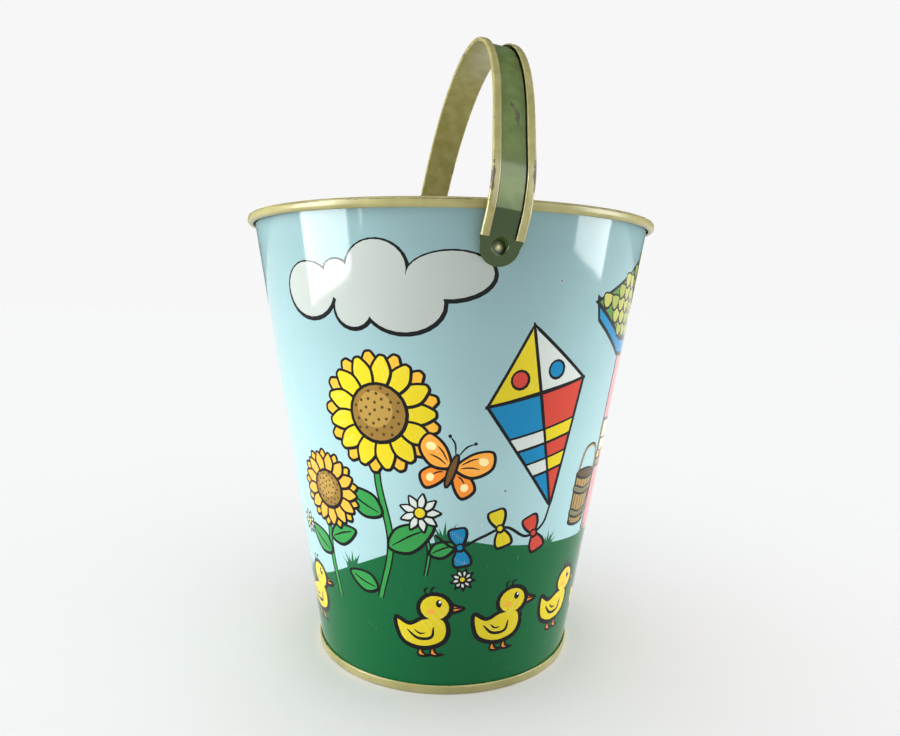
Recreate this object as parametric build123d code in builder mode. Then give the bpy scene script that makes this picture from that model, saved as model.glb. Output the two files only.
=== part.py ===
from build123d import *
from math import asin, atan2, cos, degrees, hypot, radians, sin, tan
import os

# Lithographed tinplate sand bucket, in millimetres.
# +Z is up, the origin is the centre of the foot on the floor, and the bail swings about the Y direction.
# Five pieces: wall, base, handle (the bail) and one rivet at each ear.

# ---------------------------------------------------------------- driving dimensions
sheet = 0.3                 # tinplate, the same gauge everywhere
pail_height = 203.0         # floor to the top of the rim curl
mouth_radius = 92.0         # wall's outer face, carried up to the height of the rim
floor_radius = 60.3         # wall's outer face, carried down to the floor

curl_width = 3.3            # rim curl, across
curl_height = 3.9           # rim curl, top to bottom
curl_end = 62.0             # degrees of the last turn, from level back under the curl

seam_height = 4.0           # double seam between wall and base
seam_gap = 0.05             # room between the folded layers of the seam
hairpin_tightness = 0.98    # hairpin bends, as a share of the full radius between two layers
foot_bend = 0.42            # bends either side of the flat foot, at mid sheet
panel_height = 5.6          # upper face of the base's floor panel
panel_bend = 1.0            # bend between chuck wall and panel
bead_radius = 44.0          # pressed step in the panel that stiffens it
bead_height = 1.0
bead_bend = 0.7

side_seam_angle = 112.0     # degrees from +X, at the back
side_seam_width = 4.6
side_seam_thickness = 0.6   # folded layers standing inside the wall
side_seam_margin = 1.5      # the fold stops this short of the panel and of the rim curl

pivot_drop = 17.0           # rivet axis below the top of the rim
rest_lean = 7.5             # degrees the bail leans towards +X at rest
strap_width = 16.2
hem_width = 3.2             # rolled edges of the strap
hem_height = 1.9
hem_lip = 0.5               # bend of the hem's free edge, back towards the strap
ear_radius = 7.4
ear_clearance = 0.35        # ear to wall, all the way round its turn
horn_width = 16.4           # across the little corners where the rolled edges stop
horn_drop = 0.8             # how far below the rolled edges' end they point
hem_start = 3.4             # along the strap, from the rivet axis to the end of the rolled edge
crease_rise = 12.4          # where the strap turns upright, above the rivet axis
crease_bend = 4.0
rim_clearance = 3.0         # upright strap to rim curl
swing_clearance = 0.4       # bail's leg to rim curl, as it swings past
crown_clearance = 2.8       # bail's crown to rim curl, as it swings past
leg_lean = 30.0             # degrees the legs lean inwards between hip and crown

shank_radius = 0.8
running_clearance = 0.05    # rivet shank in the ear
head_radius = 1.35
head_height = 0.75
dome_height = 0.52          # domed part of the head, above its short upright edge
head_gap = 0.1              # under the rivet head
tail_radius = 1.7           # upset end, inside the wall
tail_height = 0.7
tail_flat_radius = 0.85     # flat middle of the upset end, inside its chamfer
seat_radius = 2.35          # dished seat in the ear, round the rivet
seat_flare = 0.8            # how much the dish opens towards its mouth
seat_bend = 0.45
seat_gap = 0.3              # seat to wall

# ---------------------------------------------------------------- what follows from them
wall_slope = (mouth_radius - floor_radius) / pail_height
wall_angle = degrees(atan2(mouth_radius - floor_radius, pail_height))
along = Vector(sin(radians(wall_angle)), cos(radians(wall_angle)))
outward = Vector(cos(radians(wall_angle)), -sin(radians(wall_angle)))


def wall_radius(height):
    """Radius of the wall's outer face at a height above the floor."""
    return floor_radius + wall_slope * height


def beside_wall_at(height, out):
    """Point of the half section at a height above the floor, out from the wall's outer face."""
    return Vector(wall_radius(height) + out / cos(radians(wall_angle)), height)


# Layers of the double seam, each at mid sheet, from the inside out.
chuck_layer = -1.5 * sheet
wall_layer = -0.5 * sheet
end_hook_layer = 0.5 * sheet + seam_gap
body_hook_layer = 1.5 * sheet + 2 * seam_gap
cover_layer = 2.5 * sheet + 3 * seam_gap
hairpin = (sheet + seam_gap) * hairpin_tightness
foot_height = sheet / 2
body_bend_height = sheet + seam_gap + sheet / 2
cover_top = seam_height - sheet / 2
hook_end = sheet + 2 * seam_gap

# Rim curl: a semicircle over the top, a short drop, and a second arc back under.
curl_radius = (curl_width - sheet) / 2
curl_center_height = pail_height - curl_width / 2
curl_center = beside_wall_at(curl_center_height, wall_layer + curl_radius)
curl_drop = curl_height - curl_width
rim_reach = curl_center.X + curl_width / 2

# Bail, in its own plane: reach is out from the pail's axis, rise is above the rivet axis.
pivot_height = pail_height - pivot_drop
leg_reach = rim_reach + rim_clearance + sheet / 2
ear_floor = wall_radius(pivot_height + ear_radius) + ear_clearance + sheet / 2
ear_share = ear_radius / crease_rise
ear_reach = (ear_floor + ear_share * leg_reach) / (1 + ear_share)
ear_tilt = atan2(leg_reach - ear_reach, crease_rise)
lean = radians(leg_lean)
swing_reach = hypot(rim_reach + swing_clearance + sheet / 2, pivot_drop)
hip_radius = (swing_reach - leg_reach * cos(lean) - pivot_drop * sin(lean)) / (1 - cos(lean))
hip_end = Vector(leg_reach - hip_radius * (1 - cos(lean)), pivot_drop + hip_radius * sin(lean))
crown_rise = rim_reach + crown_clearance + sheet / 2
crown_radius = (hip_end.X * cos(lean) - (crown_rise - hip_end.Y) * sin(lean)) / (1 - sin(lean))
crown_start = Vector(0, crown_rise - crown_radius) + Vector(cos(lean), sin(lean)) * crown_radius

bail_plane = Plane(
    origin=(0, 0, pivot_height),
    x_dir=(0, 1, 0),
    z_dir=Vector(1, 0, 0).rotate(Axis.Y, rest_lean),
)
ear_direction = Vector(sin(ear_tilt), cos(ear_tilt))
ear_normal = Vector(cos(ear_tilt), -sin(ear_tilt))
hem_foot = Vector(ear_reach, 0) + ear_direction * hem_start


def flat(point):
    """Reach and rise of a point, as the pair that a sketch line takes."""
    return (point.X, point.Y)


def in_bail(reach, rise):
    """Point of the bail's plane, in the pail's frame."""
    return bail_plane.from_local_coords(Vector(reach, rise, 0))


def bail_direction(flat):
    """Direction in the bail's plane, in the pail's frame."""
    return in_bail(flat.X, flat.Y) - in_bail(0, 0)


# Rolled edges of the strap, across its section.
hem_radius = (hem_height - sheet) / 2
hem_turn = strap_width / 2 - sheet / 2 - hem_radius
hem_edge = strap_width / 2 - hem_width + sheet / 2
ear_plane = Plane(
    origin=in_bail(ear_reach, 0),
    x_dir=-bail_plane.z_dir,
    z_dir=bail_direction(ear_normal),
)

# Seat of the ear: a dish whose flat bottom is square to the rivet axis.
seat_inner = wall_radius(pivot_height + seat_radius) + seat_gap
seat_outer = seat_inner + sheet
head_base = seat_outer + head_gap

# ---------------------------------------------------------------- wall
with BuildPart() as wall:
    # Half section at mid sheet: body hook, upright of the cone, rim curl.
    with BuildSketch(Plane.XZ):
        with BuildLine():
            FilletPolyline(
                beside_wall_at(cover_top - hook_end, body_hook_layer),
                beside_wall_at(body_bend_height, body_hook_layer),
                beside_wall_at(body_bend_height, wall_layer),
                curl_center - outward * curl_radius,
                radius=hairpin,
            )
            curl_over = CenterArc(curl_center, curl_radius, 180 - wall_angle, wall_angle - 180)
            Line(curl_over @ 1, (curl_over @ 1) - (0, curl_drop))
            CenterArc(curl_center - (0, curl_drop), curl_radius, 0, curl_end - 180)
        trace(line_width=sheet)
    revolve(axis=Axis.Z)

    # Side seam: the folded layers stand inside the wall, from the panel to the rim curl.
    seam_bottom = panel_height + panel_bend + side_seam_margin
    seam_top = curl_center_height - curl_height - side_seam_margin
    seam_base = beside_wall_at(seam_bottom, wall_layer)
    seam_tip = beside_wall_at(seam_top, wall_layer)
    seam_side = Vector(1, 0, 0).rotate(Axis.Z, side_seam_angle)
    # The plane runs up the wall, with its own y pointing into the pail.
    seam_plane = Plane(
        origin=seam_side * seam_base.X + Vector(0, 0, seam_base.Y),
        x_dir=Vector(0, 1, 0).rotate(Axis.Z, side_seam_angle),
        z_dir=seam_side * along.X + Vector(0, 0, along.Y),
    )
    seam_depth = side_seam_thickness + sheet / 2
    with BuildSketch(seam_plane):
        with Locations((0, seam_depth / 2)):
            Rectangle(side_seam_width, seam_depth)
    extrude(amount=(seam_tip - seam_base).length)

    # Rivet holes, one each side on the Y direction.
    with BuildSketch(Plane.XZ):
        with Locations((0, pivot_height)):
            Circle(shank_radius)
    extrude(amount=mouth_radius, both=True, mode=Mode.SUBTRACT)

wall.part.label = "wall"

# ---------------------------------------------------------------- base
with BuildPart() as base:
    # Half section at mid sheet: stiffened panel, chuck wall, flat foot, cover and end hook.
    panel_level = panel_height - sheet / 2
    with BuildSketch(Plane.XZ):
        with BuildLine():
            FilletPolyline(
                (0, panel_level + bead_height),
                (bead_radius, panel_level + bead_height),
                (bead_radius + bead_height, panel_level),
                beside_wall_at(panel_level, chuck_layer),
                beside_wall_at(foot_height, chuck_layer),
                beside_wall_at(foot_height, cover_layer),
                beside_wall_at(cover_top, cover_layer),
                beside_wall_at(cover_top, end_hook_layer),
                beside_wall_at(body_bend_height + hook_end, end_hook_layer),
                radius=[bead_bend, bead_bend, panel_bend, foot_bend, foot_bend, hairpin, hairpin],
            )
        trace(line_width=sheet)
    revolve(axis=Axis.Z)

base.part.label = "base"

# ---------------------------------------------------------------- handle
# Seat pressed into the ear: a dish round the rivet, trimmed at the ear's outer face.
rivet_axis = Axis((0, 0, pivot_height), (0, 1, 0))
seat_level = seat_inner + sheet / 2
dish_length = ear_reach - seat_level + ear_radius * tan(ear_tilt)
dish_mouth = seat_radius + seat_flare * dish_length / (ear_reach - seat_level)

with BuildPart() as seat:
    with BuildSketch(Plane.XY.offset(pivot_height)):
        with BuildLine():
            FilletPolyline(
                (0, seat_level),
                (seat_radius, seat_level),
                (dish_mouth, seat_level + dish_length),
                radius=seat_bend,
            )
        trace(line_width=sheet)
    revolve(axis=rivet_axis)
    split(bisect_by=ear_plane.offset(sheet / 2), keep=Keep.BOTTOM)

with BuildPart() as handle:
    # Half of the strap, from the rolled edges' end up to the crown, carried along the bail's line.
    with BuildLine(bail_plane) as bail_line:
        FilletPolyline(
            flat(hem_foot),
            (leg_reach, crease_rise),
            (leg_reach, pivot_drop),
            radius=crease_bend,
        )
        CenterArc((leg_reach - hip_radius, pivot_drop), hip_radius, 0, leg_lean)
        Line(flat(hip_end), flat(crown_start))
        CenterArc((0, crown_rise - crown_radius), crown_radius, leg_lean, 90 - leg_lean)

    # The section's own y points out of the bail, so the rolled edges stand on its outer face.
    section_plane = Plane(
        origin=in_bail(*flat(hem_foot)),
        x_dir=bail_plane.z_dir,
        z_dir=bail_direction(ear_direction),
    )
    with BuildSketch(section_plane):
        with BuildLine():
            Line((0, 0), (hem_turn, 0))
            hem = CenterArc((hem_turn, hem_radius), hem_radius, -90, 180)
            Line(hem @ 1, (hem_edge + hem_lip, 2 * hem_radius))
            CenterArc((hem_edge + hem_lip, 2 * hem_radius - hem_lip), hem_lip, 90, 90)
            mirror(about=Plane.YZ)
        trace(line_width=sheet)
    sweep(path=bail_line.wires()[0])

    # Ear: a round plate in line with the foot of the strap, with a corner beside each rolled edge.
    with BuildSketch(ear_plane):
        Circle(ear_radius)
        with BuildLine():
            Polyline(
                (-ear_radius, 0),
                (-horn_width / 2, hem_start - horn_drop),
                (-hem_turn, hem_start),
                (-hem_turn, hem_start + hem_height),
                (hem_turn, hem_start + hem_height),
                (hem_turn, hem_start),
                (horn_width / 2, hem_start - horn_drop),
                (ear_radius, 0),
                close=True,
            )
        make_face()
    extrude(amount=sheet / 2, both=True)

    # The dish replaces the middle of the ear, and the shank's hole goes through its flat bottom.
    with BuildSketch(Plane.XY.offset(pivot_height)):
        with BuildLine():
            Polyline(
                (0, seat_level),
                (seat_radius, seat_level),
                (dish_mouth, seat_level + dish_length),
                (0, seat_level + dish_length),
                close=True,
            )
        make_face()
    revolve(axis=rivet_axis, mode=Mode.SUBTRACT)
    add(seat.part)
    with BuildSketch(Plane.XZ.offset(-seat_inner)):
        with Locations((0, pivot_height)):
            Circle(shank_radius + running_clearance)
    extrude(amount=sheet, both=True, mode=Mode.SUBTRACT)

    mirror(about=Plane.XZ)

handle.part.label = "handle"

# ---------------------------------------------------------------- rivets
# Space inside the wall near the rivets, which the upset ends fill up to the sheet.
with BuildPart() as inside:
    with BuildSketch(Plane.XZ):
        with BuildLine():
            Polyline(
                (0, pivot_height - ear_radius),
                flat(beside_wall_at(pivot_height - ear_radius, -sheet)),
                flat(beside_wall_at(pivot_height + ear_radius, -sheet)),
                (0, pivot_height + ear_radius),
                close=True,
            )
        make_face()
    revolve(axis=Axis.Z)

rivets = []
head_top = head_base + head_height
dome_radius = (head_radius ** 2 + dome_height ** 2) / (2 * dome_height)
dome_angle = degrees(asin(head_radius / dome_radius))
tail_face = beside_wall_at(pivot_height, -sheet).X
for side, label in ((-1, "rivet_front"), (1, "rivet_back")):
    # The plane's y points out along the rivet, on whichever side of the pail it is.
    rivet_plane = Plane(origin=(0, 0, pivot_height), x_dir=(1, 0, 0), z_dir=(0, 0, side))
    with BuildPart() as rivet:
        with BuildSketch(rivet_plane):
            with BuildLine():
                Polyline(
                    (0, tail_face - tail_height),
                    (tail_flat_radius, tail_face - tail_height),
                    (tail_radius, tail_face - tail_height / 2),
                    (tail_radius, tail_face + tail_height),
                    (0, tail_face + tail_height),
                    close=True,
                )
            make_face()
        revolve(axis=rivet_axis)
        add(inside.part, mode=Mode.INTERSECT)
        with BuildSketch(rivet_plane):
            with BuildLine():
                Polyline(
                    (0, head_top),
                    (0, tail_face - tail_height / 2),
                    (shank_radius, tail_face - tail_height / 2),
                    (shank_radius, head_base),
                    (head_radius, head_base),
                    (head_radius, head_top - dome_height),
                )
                CenterArc((0, head_top - dome_radius), dome_radius, 90 - dome_angle, dome_angle)
            make_face()
        revolve(axis=rivet_axis)
    rivet.part.label = label
    rivets.append(rivet)

# ---------------------------------------------------------------- files
os.makedirs("parts", exist_ok=True)
for piece in (wall, base, handle, *rivets):
    export_step(piece.part, f"parts/{piece.part.label}.step")
print(f"rim reach {rim_reach:.2f}, ear reach {ear_reach:.2f}, ear tilt {degrees(ear_tilt):.1f} degrees")
print(f"hip radius {hip_radius:.1f}, crown radius {crown_radius:.1f}, crown rise {crown_rise:.1f}")
print(f"wall radius at the rivets {wall_radius(pivot_height):.2f}, seat {seat_inner:.2f}")
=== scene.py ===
# %% [markdown]
# # A printed tin sand bucket
#
# The real bucket is tinplate. The wall is one flat sheet, printed first and then rolled into a cone, so its
# picture lies in the metal's own surface. The rim is curled outwards, which turns the cream inside of the
# sheet to the outside. A pressed base is folded onto the foot in a double seam. The bail is a strap with
# rolled edges, its ends are flattened into round ears, and one rivet through each ear lets it swing.
#
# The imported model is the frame: it gives the bodies that move, and the box that the looks have to stay in.

# %% Load the frame
import math

import bpy
import bmesh
import numpy as np
from mathutils import Matrix, Vector
from mathutils.geometry import delaunay_2d_cdt


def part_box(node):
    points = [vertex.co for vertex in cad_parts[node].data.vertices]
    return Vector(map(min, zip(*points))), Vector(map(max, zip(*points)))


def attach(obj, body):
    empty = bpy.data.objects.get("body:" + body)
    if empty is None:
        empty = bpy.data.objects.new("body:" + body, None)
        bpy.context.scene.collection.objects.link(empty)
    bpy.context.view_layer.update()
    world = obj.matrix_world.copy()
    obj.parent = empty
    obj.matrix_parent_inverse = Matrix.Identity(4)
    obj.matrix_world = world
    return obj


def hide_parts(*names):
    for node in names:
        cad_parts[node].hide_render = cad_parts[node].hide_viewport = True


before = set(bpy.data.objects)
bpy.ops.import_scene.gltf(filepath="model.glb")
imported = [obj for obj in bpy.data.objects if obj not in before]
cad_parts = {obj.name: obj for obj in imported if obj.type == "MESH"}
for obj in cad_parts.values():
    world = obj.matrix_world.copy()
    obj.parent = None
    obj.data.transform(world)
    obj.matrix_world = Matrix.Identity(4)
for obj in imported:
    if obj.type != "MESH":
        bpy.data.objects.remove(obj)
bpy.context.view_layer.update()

MM = 0.001

# %% [markdown]
# ## Sizes
#
# The rim's height, the rim's reach and the rivets' height are read from the frame. The rest are the
# sheet-metal sizes of the same bucket, in millimetres, because a tinsmith's drawing is in millimetres.

# %% Sizes of the sheet metal, in millimetres
wall_low, wall_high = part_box("wall")
rivet_low, rivet_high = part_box("rivet_front")
rim_top = wall_high[2] / MM
pivot_height = (rivet_low[2] + rivet_high[2]) / 2 / MM
rim_reach = wall_high[0] / MM

sheet = 0.3
floor_radius = 60.3
wall_slope = 31.7 / 203
wall_angle = math.atan(wall_slope)
panel_height = 5.6
seam_height = 4.0
side_seam = -158.0
lean = math.radians(7.5)
print(
    f"rim at {rim_top:.1f}, reach {rim_reach:.1f}, pivot at {pivot_height:.1f}, wall slope {wall_slope:.4f}"
)


def wall_radius(height):
    """Radius of the wall's outer face: the floor's radius plus the slope times the height."""
    return floor_radius + wall_slope * height


# %% [markdown]
# ## Surfaces from grids
#
# Every sheet-metal piece here is a grid of points: one direction runs along a profile, the other runs round
# the bucket or along the strap. Neighbouring points make the faces. Writing the whole grid as one array keeps
# the shape in one formula, and gives clean even faces with no modelling by hand.

# %% Grids, round paths and revolved profiles
def surface(name, grid, close_rows=False, close_columns=False):
    """Mesh object whose face (i, j) joins grid points (i, j), (i+1, j), (i+1, j+1) and (i, j+1)."""
    rows, columns = grid.shape[:2]
    i, j = np.meshgrid(
        np.arange(rows if close_rows else rows - 1),
        np.arange(columns if close_columns else columns - 1),
        indexing="ij",
    )
    up, right = (i + 1) % rows, (j + 1) % columns
    corners = [i * columns + j, up * columns + j, up * columns + right, i * columns + right]
    faces = np.stack(corners, -1).reshape(-1, 4)
    mesh = bpy.data.meshes.new(name)
    mesh.from_pydata((grid.reshape(-1, 3) * MM).tolist(), [], faces.tolist())
    piece = bpy.data.objects.new(name, mesh)
    bpy.context.scene.collection.objects.link(piece)
    mesh.shade_smooth()
    return piece


def rounded(points, radii, steps=6):
    """Polyline with its inner corners turned into arcs that touch both sides: centre on the bisector."""
    points = np.asarray(points, float)
    line = [points[:1]]
    for before, corner, after, radius in zip(points, points[1:], points[2:], radii):
        a, b = before - corner, after - corner
        a, b = a / np.linalg.norm(a), b / np.linalg.norm(b)
        half = math.acos(np.clip(a @ b, -1, 1)) / 2
        middle = (a + b) / np.linalg.norm(a + b)
        centre = corner + middle * radius / math.sin(half)
        start = corner + a * radius / math.tan(half) - centre
        end = corner + b * radius / math.tan(half) - centre
        turn = math.atan2(start[0] * end[1] - start[1] * end[0], start @ end)
        angle = turn * np.linspace(0, 1, steps)[:, None]
        side = np.array([-start[1], start[0]])
        line.append(centre + start * np.cos(angle) + side * np.sin(angle))
    return np.concatenate(line + [points[-1:]])


def arc(centre, radius, first, last, steps):
    """Points of a circle between two angles in degrees."""
    angle = np.radians(np.linspace(first, last, steps))
    return np.stack([centre[0] + radius * np.cos(angle), centre[1] + radius * np.sin(angle)], -1)


def left_of(line):
    """Unit vectors square to a line, on its left, from the difference of each point's neighbours."""
    along = np.gradient(line, axis=0)
    along /= np.linalg.norm(along, axis=1)[:, None]
    return np.stack([-along[:, 1], along[:, 0]], -1)


def both_faces(middle, thickness):
    """Closed outline of a sheet: its middle line moved left by half the thickness, and back along the
    right."""
    side = left_of(middle) * thickness / 2
    return np.concatenate([middle + side, (middle - side)[::-1]])


def revolved(profile, azimuth):
    """Grid of a profile (radius, height) turned to azimuths in radians from the front: (r sin a, -r cos a,
    z)."""
    radius, height = profile[:, :1], profile[:, 1:]
    flat = np.ones_like(azimuth)[None, :]
    return np.stack([radius * np.sin(azimuth), -radius * np.cos(azimuth), height * flat], -1)


def attribute(piece, name, values):
    """Stores one number per point, for a material to read."""
    layer = piece.data.attributes.new(name, "FLOAT", "POINT")
    layer.data.foreach_set("value", np.asarray(values, np.float32).ravel())


crisp_fold = math.radians(50)
same_point = 1e-7


def clean(piece, weld=False, outwards=False):
    """Merges points that lie together, such as a pole's, or turns faces outwards; sharp folds are kept
    crisp."""
    shape = bmesh.new()
    shape.from_mesh(piece.data)
    if weld:
        bmesh.ops.remove_doubles(shape, verts=shape.verts, dist=same_point)
    if outwards:
        bmesh.ops.recalc_face_normals(shape, faces=shape.faces)
    shape.to_mesh(piece.data)
    shape.free()
    piece.data.set_sharp_from_angle(angle=crisp_fold)


def place(piece, body, node, material):
    """Puts a finished piece on its body, in place of its CAD node, with its finish."""
    piece.data.materials.append(material)
    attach(piece, body)
    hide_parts(node)
    print(f"{piece.name}: {len(piece.data.polygons)} faces on {body}, for {node}")


# %% [markdown]
# ## Finishes
#
# A printed tin surface is ink under a clear varnish. What the eye reads as tin is small: the grain of the
# ink, the halftone dots in the yellows, hair scratches in the varnish, specks where it chipped, and dark
# scuffs along each fold, where other things rub. Each of these is a node group, so the wall, the rim, the
# base and the bail share them, each with its own amounts.

# %% Node helpers
def add(tree, kind, inputs=None, **settings):
    """Adds a shader node: its inputs take numbers, colours or other nodes' sockets."""
    node = tree.nodes.new("ShaderNode" + kind)
    for key, value in settings.items():
        setattr(node, key, value)
    for key, value in (inputs or {}).items():
        if isinstance(value, bpy.types.NodeSocket):
            tree.links.new(value, node.inputs[key])
        else:
            node.inputs[key].default_value = value
    return node


def calc(tree, operation, *values, clamp=False):
    """Math node's result."""
    return add(tree, "Math", dict(enumerate(values)), operation=operation, use_clamp=clamp).outputs[0]


def plus(tree, a, b, clamp=False):
    """Sum of two values."""
    return calc(tree, "ADD", a, b, clamp=clamp)


def times(tree, a, b):
    """Product of two values."""
    return calc(tree, "MULTIPLY", a, b)


def blend(tree, factor, a, b):
    """Mix of two colours."""
    return add(tree, "Mix", {0: factor, 6: a, 7: b}, data_type="RGBA").outputs[2]


def ramp(tree, value, low, high, first=0.0, last=1.0):
    """Smooth step of a value from low to high."""
    inputs = {0: value, 1: low, 2: high, 3: first, 4: last}
    return add(tree, "MapRange", inputs, interpolation_type="SMOOTHSTEP").outputs[0]


def noise(tree, place_in, scale, detail=2.0, rough=0.5):
    """Soft noise at a scale in features per metre."""
    inputs = {"Vector": place_in, "Scale": scale, "Detail": detail, "Roughness": rough}
    return add(tree, "TexNoise", inputs).outputs[0]


def stretched(tree, place_in, turn, scale):
    """Coordinates turned and then stretched, for marks that run one way."""
    return add(tree, "Mapping", {"Vector": place_in, "Rotation": turn, "Scale": scale}).outputs[0]


def group(name, inputs, outputs):
    """New node group with named sockets; returns the tree, its input node and a function that wires
    outputs."""
    tree = bpy.data.node_groups.new(name, "ShaderNodeTree")
    kinds = {"C": "NodeSocketColor", "F": "NodeSocketFloat", "V": "NodeSocketVector"}
    for label, (kind, default) in inputs.items():
        socket = tree.interface.new_socket(label, in_out="INPUT", socket_type=kinds[kind])
        if default is not None:
            socket.default_value = default
    for label, kind in outputs.items():
        tree.interface.new_socket(label, in_out="OUTPUT", socket_type=kinds[kind])
    entry = tree.nodes.new("NodeGroupInput")
    leave = tree.nodes.new("NodeGroupOutput")

    def wire(**values):
        for label, socket in values.items():
            tree.links.new(socket, leave.inputs[label])

    return tree, entry.outputs, wire


def use(tree, made, **values):
    """Places a node group in a material with its own values; underscores stand for spaces in socket names."""
    node = tree.nodes.new("ShaderNodeGroup")
    node.node_tree = made
    for label, value in values.items():
        socket = node.inputs[label.replace("_", " ")]
        if isinstance(value, bpy.types.NodeSocket):
            tree.links.new(value, socket)
        else:
            socket.default_value = value
    return node.outputs


def linear(code):
    """Scene colour of a printer's hex code: the sRGB curve undone, with full alpha."""
    parts = np.array([int(code[k : k + 2], 16) for k in (1, 3, 5)]) / 255
    value = np.where(parts <= 0.04045, parts / 12.92, ((parts + 0.055) / 1.055) ** 2.4)
    return (*(float(v) for v in value), 1.0)


# %% Ink grain: fine speckle in every ink, with halftone dots where an ink is screened
tree, given, wire = group(
    "ink_grain",
    {"Color": ("C", None), "Vector": ("V", None), "Strength": ("F", 0.1), "Dots": ("F", 0.0)},
    {"Color": "C", "Rough": "F"},
)
fine = noise(tree, given["Vector"], 2600, detail=3, rough=0.7)
cloudy = noise(tree, given["Vector"], 55, detail=3)
speckle = times(tree, calc(tree, "SUBTRACT", fine, 0.5), given["Strength"])
drift = calc(
    tree, "MULTIPLY", calc(tree, "SUBTRACT", cloudy, 0.5), times(tree, given["Strength"], 0.6)
)
level = plus(tree, plus(tree, speckle, drift), 1.0)
screen = add(tree, "TexVoronoi", {"Vector": given["Vector"], "Scale": 1250, "Randomness": 0.15})
dot = ramp(tree, screen.outputs["Distance"], 0.20, 0.30, 1.0, 0.0)
patch = ramp(tree, noise(tree, given["Vector"], 95, detail=1), 0.42, 0.62)
dot_mask = times(tree, times(tree, dot, patch), given["Dots"])
toned = add(tree, "VectorMath", {0: given["Color"], 3: level}, operation="SCALE").outputs[0]
paler = blend(tree, 0.35, toned, (0.93, 0.88, 0.62, 1.0))
wire(Color=blend(tree, dot_mask, toned, paler), Rough=times(tree, fine, 0.05))
ink_grain = tree

# %% Varnish marks: hair scratches both ways, and chips as small dark specks with a pale edge
tree, given, wire = group(
    "varnish_marks",
    {"Vector": ("V", None), "Scratches": ("F", 0.4), "Chips": ("F", 0.5)},
    {"Scratch": "F", "Chip": "F", "Halo": "F"},
)
hairs = []
for turn, scale in (((0.3, 0.5, 0.9), (1500, 1500, 16)), ((0.4, -0.7, 2.0), (1700, 1700, 24))):
    streak = noise(tree, stretched(tree, given["Vector"], turn, scale), 1.0, detail=1)
    hairs.append(ramp(tree, streak, 0.745, 0.79))
apart = ramp(tree, noise(tree, given["Vector"], 24, detail=2), 0.50, 0.62)
scratch = times(tree, calc(tree, "MAXIMUM", *hairs), apart)
cells = add(tree, "TexVoronoi", {"Vector": given["Vector"], "Scale": 110})
lucky = add(tree, "SeparateColor", {0: cells.outputs["Color"]})
size = times(tree, calc(tree, "POWER", lucky.outputs[1], 3.0), 0.075)
ragged = times(tree, noise(tree, given["Vector"], 1500), 0.05)
reach = plus(tree, cells.outputs["Distance"], ragged)
chosen = calc(tree, "LESS_THAN", lucky.outputs[0], times(tree, given["Chips"], 0.35))
chip = times(tree, calc(tree, "LESS_THAN", reach, plus(tree, size, 0.035)), chosen)
halo = times(tree, calc(tree, "LESS_THAN", reach, plus(tree, size, 0.060)), chosen)
wire(Scratch=times(tree, scratch, given["Scratches"]), Chip=chip, Halo=halo)
varnish_marks = tree

# %% Fold wear: dark scuffs and rust where an edge attribute is high, broken up by noise
tree, given, wire = group(
    "fold_wear",
    {"Vector": ("V", None), "Edge": ("F", 0.0), "Amount": ("F", 0.5)},
    {"Worn": "F", "Rust": "F"},
)
broad = noise(tree, given["Vector"], 70, detail=4, rough=0.65)
small = noise(tree, given["Vector"], 620, detail=4, rough=0.7)
rough_edge = plus(tree, times(tree, broad, 0.7), times(tree, small, 0.5))
wanted = times(tree, given["Edge"], given["Amount"])
line = calc(tree, "SUBTRACT", plus(tree, rough_edge, wanted), 1.0)
worn = ramp(tree, line, 0.0, 0.05)
rust = ramp(tree, small, 0.45, 0.62)
wire(Worn=worn, Rust=times(tree, worn, rust))
fold_wear = tree
print("node groups:", [g.name for g in bpy.data.node_groups])


# %% [markdown]
# The four finishes use one recipe: a colour, grain, marks, wear, and a gloss that grows rougher where it is
# scratched or worn. The printed wall is the smoothest. What differs most is where the colour comes from: the
# wall reads the ink stored in its mesh, the bail mixes green and cream by the side of the sheet, and the rest
# are one lacquer or plating.

# %% The shared recipe
bare_metal, rust = linear("#211C16"), linear("#54392A")


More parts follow.
